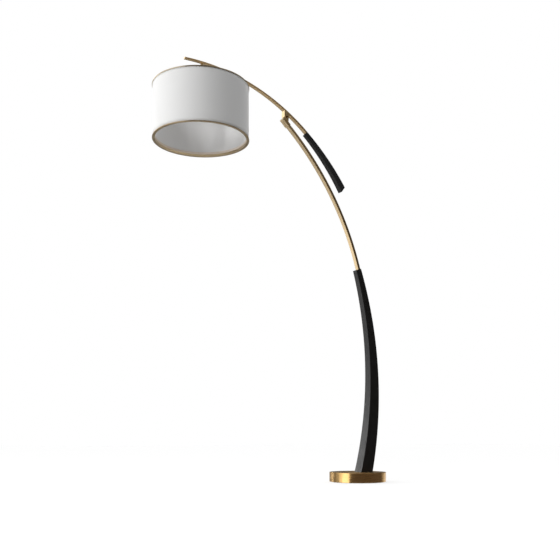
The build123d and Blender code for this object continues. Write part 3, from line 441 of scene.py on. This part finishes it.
def bent_grid(tree, columns, rows):
    """A sheet of squares to be bent, and the two shares of the way along it, from 0 to 1."""
    flat = {"Size X": 1.0, "Size Y": 1.0, "Vertices X": columns, "Vertices Y": rows}
    flat = put(tree, "GeometryNodeMeshGrid", flat).outputs
    marked = {"Geometry": flat["Mesh"], "Name": "UVMap", "Value": flat["UV Map"]}
    marked = put(tree, "GeometryNodeStoreNamedAttribute", marked, data_type="FLOAT2", domain="CORNER")
    spot = put(tree, "ShaderNodeSeparateXYZ", {0: put(tree, "GeometryNodeInputPosition").outputs[0]}).outputs
    shares = [sum_of(tree, "ADD", spot[axis], 0.5) for axis in ("X", "Y")]
    return marked.outputs[0], *shares


def wrap(tree, sheet, turn, radius, level):
    """Bends a sheet round the upright axis: each point gets an angle, a radius and a level."""
    spot = put(tree, "ShaderNodeCombineXYZ", {
        "X": sum_of(tree, "MULTIPLY", radius, sum_of(tree, "COSINE", turn)),
        "Y": sum_of(tree, "MULTIPLY", radius, sum_of(tree, "SINE", turn)),
        "Z": level,
    }).outputs[0]
    return put(tree, "GeometryNodeSetPosition", {"Geometry": sheet, "Position": spot}).outputs[0]


def stand(tree, mesh, given, spacing, count):
    """Stands copies of a mesh over each other on the axis, joins them and gives them the finish."""
    foot = put(tree, "ShaderNodeCombineXYZ", {"X": given["Axis X"], "Z": given["Level"]}).outputs[0]
    step = put(tree, "ShaderNodeCombineXYZ", {"Z": spacing}).outputs[0]
    places = {"Count": count, "Start Location": foot, "Offset": step}
    places = put(tree, "GeometryNodeMeshLine", places).outputs[0]
    copies = put(tree, "GeometryNodeInstanceOnPoints", {"Points": places, "Instance": mesh}).outputs[0]
    whole = put(tree, "GeometryNodeRealizeInstances", {"Geometry": copies}).outputs[0]
    smooth = put(tree, "GeometryNodeSetShadeSmooth", {"Geometry": whole}).outputs[0]
    clad = put(tree, "GeometryNodeSetMaterial", {"Geometry": smooth, "Material": given["Finish"]}).outputs[0]
    put(tree, "NodeGroupOutput", {0: clad})


def grow(name, tree, values, thickness=None):
    """Runs a tree of sizes and keeps the result as a plain mesh."""
    piece = bpy.data.objects.new(name, bpy.data.meshes.new(name))
    bpy.context.scene.collection.objects.link(piece)
    maker = piece.modifiers.new("maker", "NODES")
    maker.node_group = tree
    for socket in tree.interface.items_tree:
        if socket.in_out == "INPUT":
            maker[socket.identifier] = values[socket.name]
    if thickness:
        wall = piece.modifiers.new("wall", "SOLIDIFY")
        wall.thickness = thickness
        wall.offset = -1.0
    seen = piece.evaluated_get(bpy.context.evaluated_depsgraph_get())
    made = bpy.data.meshes.new_from_object(seen)
    piece.modifiers.clear()
    piece.data = made
    made.name = name
    return piece


ring_sizes = ("Radius", "Bore", "Height", "Ribs", "Rib", "Axis X", "Level", "Spacing")
ribbed, given = open_sizes("ribbed_rings", ring_sizes)
sheet, along, around = bent_grid(ribbed, 385, 29)
turn = sum_of(ribbed, "MULTIPLY", along, 2.0 * math.pi)
lap = sum_of(ribbed, "MULTIPLY", around, 2.0 * math.pi)
sides = []
for swing in ("COSINE", "SINE"):
    wave = sum_of(ribbed, swing, lap)
    square = sum_of(ribbed, "POWER", sum_of(ribbed, "ABSOLUTE", wave), 0.3)
    sides.append(sum_of(ribbed, "MULTIPLY", sum_of(ribbed, "SIGN", wave), square))
rim = sum_of(ribbed, "SUBTRACT", given["Radius"], given["Rib"])
half = sum_of(ribbed, "MULTIPLY", sum_of(ribbed, "SUBTRACT", rim, given["Bore"]), 0.5)
middle = sum_of(ribbed, "SUBTRACT", rim, half)
reach = sum_of(ribbed, "ADD", middle, sum_of(ribbed, "MULTIPLY", half, sides[0]))
swell = sum_of(ribbed, "COSINE", sum_of(ribbed, "MULTIPLY", turn, given["Ribs"]))
swell = sum_of(ribbed, "MULTIPLY", sum_of(ribbed, "MAXIMUM", swell), given["Rib"])
outer = spread(ribbed, sides[0], 0.0, 1.0, 0.8, 1.0)
reach = sum_of(ribbed, "ADD", reach, sum_of(ribbed, "MULTIPLY", swell, outer))
level = sum_of(ribbed, "MULTIPLY", sum_of(ribbed, "MULTIPLY", sides[1], given["Height"]), 0.5)
ring = wrap(ribbed, sheet, turn, reach, level)
ring = put(ribbed, "GeometryNodeMergeByDistance", {"Geometry": ring, "Distance": 0.00001}).outputs[0]
stand(ribbed, ring, given, given["Spacing"], 2)

low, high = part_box("ring_nuts")
shade_axis_x = (low[0] + high[0]) / 2.0
ring_height = 0.0055
rings = grow("ribbed_rings", ribbed, {
    "Radius": (high[0] - low[0]) / 2.0,
    "Bore": 0.0197,
    "Height": ring_height,
    "Ribs": 40.0,
    "Rib": 0.0009,
    "Axis X": shade_axis_x,
    "Level": low[2] + ring_height / 2.0,
    "Spacing": high[2] - low[2] - ring_height,
    "Finish": white_urea,
})
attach(rings, "shade")
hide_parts("ring_nuts")

# The spider is a pressed hub with three welded wire spokes that end in the top rim of the shade.
# It is dip-coated white.

dip_coat = grained_finish(
    "dip_coat",
    size=0.002,
    tones=((0.72, 0.71, 0.69), (0.78, 0.77, 0.75)),
    roughness=(0.3, 0.45),
    depth=0.00008,
)
dress(dip_coat, "spider")

# The shade is a drum of white cotton, woven plain and laminated on clear sheet, 457 by 250 mm.
# It is rolled up once and glued in a narrow lap, which is turned to the back.

rolled, given = open_sizes("rolled_sheet", ("Radius", "Height", "Lap", "Step", "Seam", "Axis X", "Level"))
sheet, along, up = bent_grid(rolled, 401, 15)
lap_turn = sum_of(rolled, "DIVIDE", given["Lap"], given["Radius"])
full_turn = sum_of(rolled, "ADD", lap_turn, 2.0 * math.pi)
turn = sum_of(rolled, "ADD", sum_of(rolled, "MULTIPLY", along, full_turn), given["Seam"])
lap_share = sum_of(rolled, "DIVIDE", lap_turn, full_turn)
climb = {
    "Value": along,
    "From Min": sum_of(rolled, "SUBTRACT", 1.0, sum_of(rolled, "MULTIPLY", lap_share, 1.6)),
    "From Max": sum_of(rolled, "SUBTRACT", 1.0, lap_share),
    "To Min": 0.0,
    "To Max": given["Step"],
}
climb = put(rolled, "ShaderNodeMapRange", climb, interpolation_type="SMOOTHSTEP").outputs[0]
reach = sum_of(rolled, "ADD", given["Radius"], climb)
drum = wrap(rolled, sheet, turn, reach, sum_of(rolled, "MULTIPLY", up, given["Height"]))
stand(rolled, drum, given, 0.0, 1)

weave, given, result = effect("plain_weave", {"Vector": None}, {"Height": "Float", "Slub": "Float"})
threads = put(weave, "ShaderNodeSeparateXYZ", {0: given["Vector"]}).outputs
warp = sum_of(weave, "PINGPONG", threads["X"], 1.0)
weft = sum_of(weave, "PINGPONG", threads["Y"], 1.0)
check = put(weave, "ShaderNodeTexChecker", {"Vector": given["Vector"], "Scale": 0.5}).outputs["Fac"]
over = put(weave, "ShaderNodeMix", {0: check, 2: warp, 3: weft}).outputs[0]
weave.links.new(over, result.inputs["Height"])
slubs = []
for stretch in ((1.0, 0.03, 1.0), (0.03, 1.0, 1.0)):
    drawn_out = put(weave, "ShaderNodeMapping", {"Vector": given["Vector"], "Scale": stretch}).outputs[0]
    thick = {"Vector": drawn_out, "Scale": 0.8, "Detail": 2.0}
    slubs.append(put(weave, "ShaderNodeTexNoise", thick).outputs[0])
both = sum_of(weave, "ADD", *slubs)
weave.links.new(spread(weave, both, 0.0, 1.0, 0.6, 1.4), result.inputs["Slub"])

low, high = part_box("shade_drum")
cloth_thickness = 0.0005
shade_radius = (high[0] - low[0]) / 2.0 - cloth_thickness
shade_level = low[2]
shade_height = high[2] - low[2]
thread_pitch = 0.0005

shade_cloth, tree, surface, place = open_finish("shade_cloth")
unrolled = put(tree, "ShaderNodeTexCoord").outputs["UV"]
counts = (2.0 * math.pi * shade_radius / thread_pitch, shade_height / thread_pitch, 1.0)
counted = put(tree, "ShaderNodeMapping", {"Vector": unrolled, "Scale": counts}).outputs[0]
woven = put(tree, "ShaderNodeGroup", node_tree=weave)
tree.links.new(counted, woven.inputs["Vector"])
flow = grained(tree, place, 0.003)[1]
cotton = between(tree, woven.outputs["Slub"], (0.835, 0.835, 0.83), (0.865, 0.865, 0.86))
lay(tree, surface, {
    "Base Color": between(tree, flow, cotton, (0.855, 0.853, 0.845)),
    "Roughness": spread(tree, woven.outputs["Height"], 0.96, 0.86),
    "Specular IOR Level": 0.2,
    "Sheen Weight": 0.08,
    "Sheen Roughness": 0.5,
    "Normal": relief(tree, woven.outputs["Height"], 0.00004),
})
drum = grow("cotton_drum", rolled, {
    "Radius": shade_radius,
    "Height": shade_height,
    "Lap": 0.014,
    "Step": cloth_thickness,
    "Seam": math.radians(61.0),
    "Axis X": shade_axis_x,
    "Level": shade_level,
    "Finish": shade_cloth,
}, cloth_thickness)
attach(drum, "shade")
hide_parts("shade_drum")

# The liner is a white styrene sheet, rolled the same way inside the cotton, with a satin face.
# Its lap is on the near side, away from the cotton's, and the glue under it greys the sheet a little.

liner_thickness = 0.0004
liner_lap = 0.012
low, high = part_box("shade_liner")
liner_radius = (high[0] - low[0]) / 2.0 - liner_thickness
lap_share = liner_lap / (2.0 * math.pi * liner_radius + liner_lap)

liner_sheet, tree, surface, place = open_finish("liner_sheet")
ripple, flow = grained(tree, place, 0.006)
unrolled = put(tree, "ShaderNodeTexCoord").outputs["UV"]
unrolled = put(tree, "ShaderNodeSeparateXYZ", {0: unrolled}).outputs
glued = sum_of(tree, "ABSOLUTE", sum_of(tree, "SUBTRACT", unrolled["X"], lap_share / 2.0))
glued = spread(tree, glued, 1.0, 0.0, lap_share * 0.4, lap_share * 0.6)
bare = between(tree, flow, (0.81, 0.81, 0.81), (0.84, 0.84, 0.84))
lay(tree, surface, {
    "Base Color": between(tree, glued, bare, (0.68, 0.68, 0.67)),
    "Roughness": spread(tree, flow, 0.3, 0.42),
    "Normal": relief(tree, ripple, 0.00003),
})
liner = grow("styrene_liner", rolled, {
    "Radius": liner_radius,
    "Height": high[2] - low[2],
    "Lap": liner_lap,
    "Step": liner_thickness,
    "Seam": math.radians(250.0),
    "Axis X": shade_axis_x,
    "Level": low[2],
    "Finish": liner_sheet,
}, liner_thickness)
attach(liner, "shade")
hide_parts("shade_liner")

# Rims of rolled brass strip grip the top and bottom edges of cotton and liner.
# They are folded over, closed to a ring and brushed along their length.
# A cream cotton tape is glued on the upper half of the lower rim's inner leg.


def dulled(material, share, tone):
    """The colour of a metal, taken a share of the way to a duller tone."""
    metal = surface_of(material).inputs["Base Color"].links[0].from_socket
    return between(material.node_tree, share, metal, tone)


shade_axis = (shade_axis_x, 0.0, shade_level + shade_height / 2.0)
rim_brass = brass("rim_brass", turned, 0.0, shade_axis, Fine=900.0, Long=2.0)
grey_gold = dulled(rim_brass, 0.5, (0.52, 0.50, 0.45))
lay(rim_brass.node_tree, surface_of(rim_brass), {"Base Color": grey_gold})
dress(rim_brass, "top_trim")

low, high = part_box("bottom_trim")
tape_edge = low[2] + 0.011
tape_blur = 0.0004
taped_rim = brass("taped_rim", turned, 0.0, shade_axis, Fine=900.0, Long=2.0)
tree = taped_rim.node_tree
surface = surface_of(taped_rim)
place = put(tree, "ShaderNodeTexCoord").outputs["Object"]
level = put(tree, "ShaderNodeSeparateXYZ", {0: place}).outputs["Z"]
tape = spread(tree, level, 0.0, 1.0, tape_edge - tape_blur, tape_edge + tape_blur)
nap = grained(tree, place, 0.0009)[0]
cream = between(tree, nap, (0.75, 0.655, 0.565), (0.82, 0.72, 0.625))
brown_gold = dulled(taped_rim, 0.35, (0.32, 0.24, 0.15))
polish = surface.inputs["Roughness"].links[0].from_socket
lay(tree, surface, {
    "Base Color": between(tree, tape, brown_gold, cream),
    "Roughness": put(tree, "ShaderNodeMix", {0: tape, 2: polish, 3: 0.85}).outputs[0],
    "Metallic": spread(tree, tape, 1.0, 0.0),
})
dress(taped_rim, "bottom_trim")

# The inner leads run through the column, the bar, the arm and the stem.
# They are twin flex in clear sleeving over gold braid.

lead_sleeve, tree, surface, place = open_finish("lead_sleeve")
braid, flow = grained(tree, place, 0.001)
lay(tree, surface, {
    "Base Color": between(tree, braid, (0.55, 0.45, 0.28), (0.70, 0.60, 0.42)),
    "Roughness": spread(tree, flow, 0.35, 0.5),
    "Normal": relief(tree, braid, 0.0001),
})
dress(lead_sleeve, "lead_column", "lead_arm", "lead_stem")

# The floor is a wide pale sheet that reads white and keeps the lamp's soft shadow.
# Polished metal and glass mirror it as plain white.

scene = bpy.context.scene
scene.view_settings.view_transform = "Standard"


def studio_sheet(name, corners, faces, material):
    """A plain sheet of the studio."""
    mesh = bpy.data.meshes.new(name)
    mesh.from_pydata(corners, [], faces)
    mesh.materials.append(material)
    sheet = bpy.data.objects.new(name, mesh)
    scene.collection.objects.link(sheet)
    return sheet


def open_studio(name):
    """A material of the studio with nothing in it yet but its output."""
    material = bpy.data.materials.new(name)
    material.use_nodes = True
    material.node_tree.nodes.remove(surface_of(material))
    return material, material.node_tree, material.node_tree.nodes["Material Output"].inputs["Surface"]


def seen_rays(tree):
    """1 where the camera sees this itself, and 1 where the lamp mirrors it or shows it through."""
    seen = put(tree, "ShaderNodeLightPath").outputs
    return seen["Is Camera Ray"], sum_of(tree, "MAXIMUM", seen["Is Glossy Ray"], seen["Is Transmission Ray"])


floor_reach = 14.0
floor_tone = (0.35, 0.35, 0.35)
floor_lift = 0.68

pale_floor, tree, shown = open_studio("pale_floor")
camera_ray, mirror_ray = seen_rays(tree)
matt = put(tree, "ShaderNodeBsdfDiffuse", {"Color": floor_tone}).outputs[0]
lift = put(tree, "ShaderNodeEmission", {"Strength": floor_lift}).outputs[0]
lifted = put(tree, "ShaderNodeAddShader", {0: matt, 1: lift}).outputs[0]
white = put(tree, "ShaderNodeEmission", {"Strength": 1.0}).outputs[0]
direct = put(tree, "ShaderNodeMixShader", {0: camera_ray, 1: matt, 2: lifted}).outputs[0]
tree.links.new(put(tree, "ShaderNodeMixShader", {0: mirror_ray, 1: direct, 2: white}).outputs[0], shown)
signs = ((-1, -1), (1, -1), (1, 1), (-1, 1))
floor_corners = [(floor_reach * x, floor_reach * y, 0) for x, y in signs]
studio_sheet("floor", floor_corners, [(0, 1, 2, 3)], pale_floor)

# Cards round the lamp give brass and gloss something to mirror: dark on the near side, grey behind,
# bright at the left. They are bent sheets that only reflections see, on the floor or upright.


def reflector(name, glow, ring):
    """A strip of card between two rows of points, which glows evenly and casts no light or shadow."""
    material, tree, shown = open_studio(name)
    tree.links.new(put(tree, "ShaderNodeEmission", {"Color": glow, "Strength": 1.0}).outputs[0], shown)
    faces = [(i, i + 1, i + 3, i + 2) for i in range(0, len(ring) - 2, 2)]
    sheet = studio_sheet(name, ring, faces, material)
    sheet.visible_camera = False
    sheet.visible_diffuse = False
    sheet.visible_transmission = False
    sheet.visible_shadow = False


card_steps = 24
card_lift = 0.001


def floor_fan(name, glow, start, end, reach):
    """A card on the floor that the base's side mirrors between two of its own headings from the camera."""
    facing, side, ring = 235.3, 0.155, []
    for i in range(card_steps + 1):
        turn = start + (end - start) * i / card_steps
        out = math.radians(facing + turn)
        away = math.radians(facing + 2.0 * turn)
        foot = (side * math.cos(out), side * math.sin(out))
        ring.append((*foot, card_lift))
        ring.append((foot[0] + reach * math.cos(away), foot[1] + reach * math.sin(away), card_lift))
    reflector(name, glow, ring)


def card(name, glow, start, end, near, far, low, high):
    """A card between two headings in degrees, from a near radius and low edge to a far and high one."""
    ring = []
    for i in range(card_steps + 1):
        heading = math.radians(start + (end - start) * i / card_steps)
        ring.append((near * math.cos(heading), near * math.sin(heading), low))
        ring.append((far * math.cos(heading), far * math.sin(heading), high))
    reflector(name, glow, ring)


def wall_card(name, glow, start, end, radius, low, high):
    """An upright card."""
    card(name, glow, start, end, radius, radius, low, high)


def floor_card(name, glow, start, end, near, far):
    """A card that lies on the floor."""
    card(name, glow, start, end, near, far, card_lift, card_lift)


dark = (0.126, 0.107, 0.11)
floor_fan("edge_floor_card", (0.42, 0.4, 0.37), -88.0, -60.0, 1.6)
floor_fan("left_floor_card", (1.25, 1.25, 1.2), -40.0, -33.0, 1.6)
floor_fan("bright_floor_card", (2.6, 2.6, 2.55), -33.0, -17.5, 1.6)
floor_fan("gap_floor_card", (0.05, 0.045, 0.04), -61.0, -40.5, 1.6)
floor_fan("near_floor_card", dark, -17.0, 65.0, 4.0)
wall_card("gap_wall_card", dark, 125.0, 142.0, 1.7, 0.0, 0.3)
wall_card("near_wall_card", (0.045, 0.033, 0.016), 203.0, 352.0, 4.0, 0.0, 3.75)
wall_card("near_high_card", (0.23, 0.22, 0.21), 203.0, 275.0, 4.0, 3.75, 8.0)
wall_card("right_high_card", (0.40, 0.37, 0.32), 275.0, 352.0, 4.0, 3.75, 8.0)
wall_card("left_high_card", (0.9, 0.9, 0.9), 140.0, 203.0, 4.0, 2.6, 8.0)
wall_card("foot_wall_card", (8.0, 8.0, 8.0), 108.0, 124.0, 1.25, 0.22, 0.5)
floor_card("upper_floor_card", (0.2, 0.2, 0.19), 100.0, 140.0, 3.7, 4.8)
floor_card("outer_floor_card", (1.5, 1.47, 1.42), 100.0, 140.0, 5.2, 12.0)
wall_card("left_back_card", (0.3, 0.3, 0.3), 100.0, 135.0, 6.0, 1.0, 2.8)
wall_card("left_sky_card", (1.65, 1.63, 1.55), 107.0, 140.0, 6.0, 2.8, 7.0)
wall_card("back_wall_card", (0.08, 0.08, 0.08), 0.0, 107.0, 7.0, 0.0, 9.0)
floor_card("back_floor_card", (0.27, 0.265, 0.26), 40.0, 95.0, 1.5, 3.4)
floor_card("far_floor_card", (0.21, 0.205, 0.2), 30.0, 95.0, 3.4, 7.0)
floor_card("side_floor_card", (0.36, 0.355, 0.35), 95.0, 128.0, 1.5, 3.7)

# Two soft lamps stand at the near left, a key above the shade's height and a weaker one low down.
# The room adds even light that grows towards the far side, and shows as plain white itself.


def softbox(name, place, aim, size, power):
    """A soft square lamp that faces a point, and is not mirrored itself."""
    lamp = bpy.data.lights.new(name, "AREA")
    lamp.shape = "RECTANGLE"
    lamp.size, lamp.size_y = size, size
    lamp.energy = power
    box = bpy.data.objects.new(name, lamp)
    scene.collection.objects.link(box)
    box.visible_camera = False
    box.visible_glossy = False
    box.location = place
    ahead = [a - p for a, p in zip(aim, place)]
    box.rotation_euler = (
        math.atan2(math.hypot(ahead[0], ahead[1]), -ahead[2]),
        0.0,
        math.atan2(-ahead[0], ahead[1]),
    )


softbox("key_softbox", (-3.33, -2.0, 3.07), aim=(-0.9, 0.0, 1.8), size=0.8, power=37.0)
softbox("low_softbox", (-3.2, -0.3, 0.9), aim=(-0.9, 0.0, 1.7), size=1.6, power=10.5)

bright_heading = math.radians(85.0)
wall_range = (-2.2, 6.4)
wall_most = 2.0
overhead_share = 0.4

world = bpy.data.worlds.new("white_room")
scene.world = world
world.use_nodes = True
tree = world.node_tree
camera_ray, mirror_ray = seen_rays(tree)
heading = put(tree, "ShaderNodeTexCoord").outputs["Generated"]
bright_side = (math.cos(bright_heading), math.sin(bright_heading), 0.0)
toward = vector_of(tree, "DOT_PRODUCT", {0: heading, 1: bright_side})
wall = sum_of(tree, "MAXIMUM", spread(tree, toward, *wall_range, -1.0, 1.0))
wall = sum_of(tree, "MINIMUM", wall, wall_most)
height = put(tree, "ShaderNodeSeparateXYZ", {0: heading}).outputs["Z"]
height = sum_of(tree, "MULTIPLY", height, height)
soft = tree.nodes["Background"]
soft.inputs["Color"].default_value = (1.0, 1.0, 1.0, 1.0)
level = sum_of(tree, "MULTIPLY", wall, spread(tree, height, 1.0, overhead_share))
tree.links.new(level, soft.inputs["Strength"])
white = put(tree, "ShaderNodeBackground", {"Color": (1.0, 1.0, 1.0), "Strength": 1.0}).outputs[0]
plain = sum_of(tree, "MAXIMUM", camera_ray, mirror_ray)
mixed = put(tree, "ShaderNodeMixShader", {0: plain, 1: soft.outputs[0], 2: white}).outputs[0]
tree.links.new(mixed, tree.nodes["World Output"].inputs["Surface"])

# The camera stands level and low at the near left, 4.2 m from the base.
# Its 50 mm lens is shifted up, so that upright edges stay upright with the whole lamp in the frame.

lens = bpy.data.cameras.new("camera")
lens.lens = 50.0
lens.sensor_width = 36.0
lens.shift_y = 0.2777
camera = bpy.data.objects.new("camera", lens)
scene.collection.objects.link(camera)
camera.location = (-2.370, -3.4225, 0.246)
camera.rotation_euler = (math.radians(90.0), 0.0, math.radians(-29.0))
scene.camera = camera
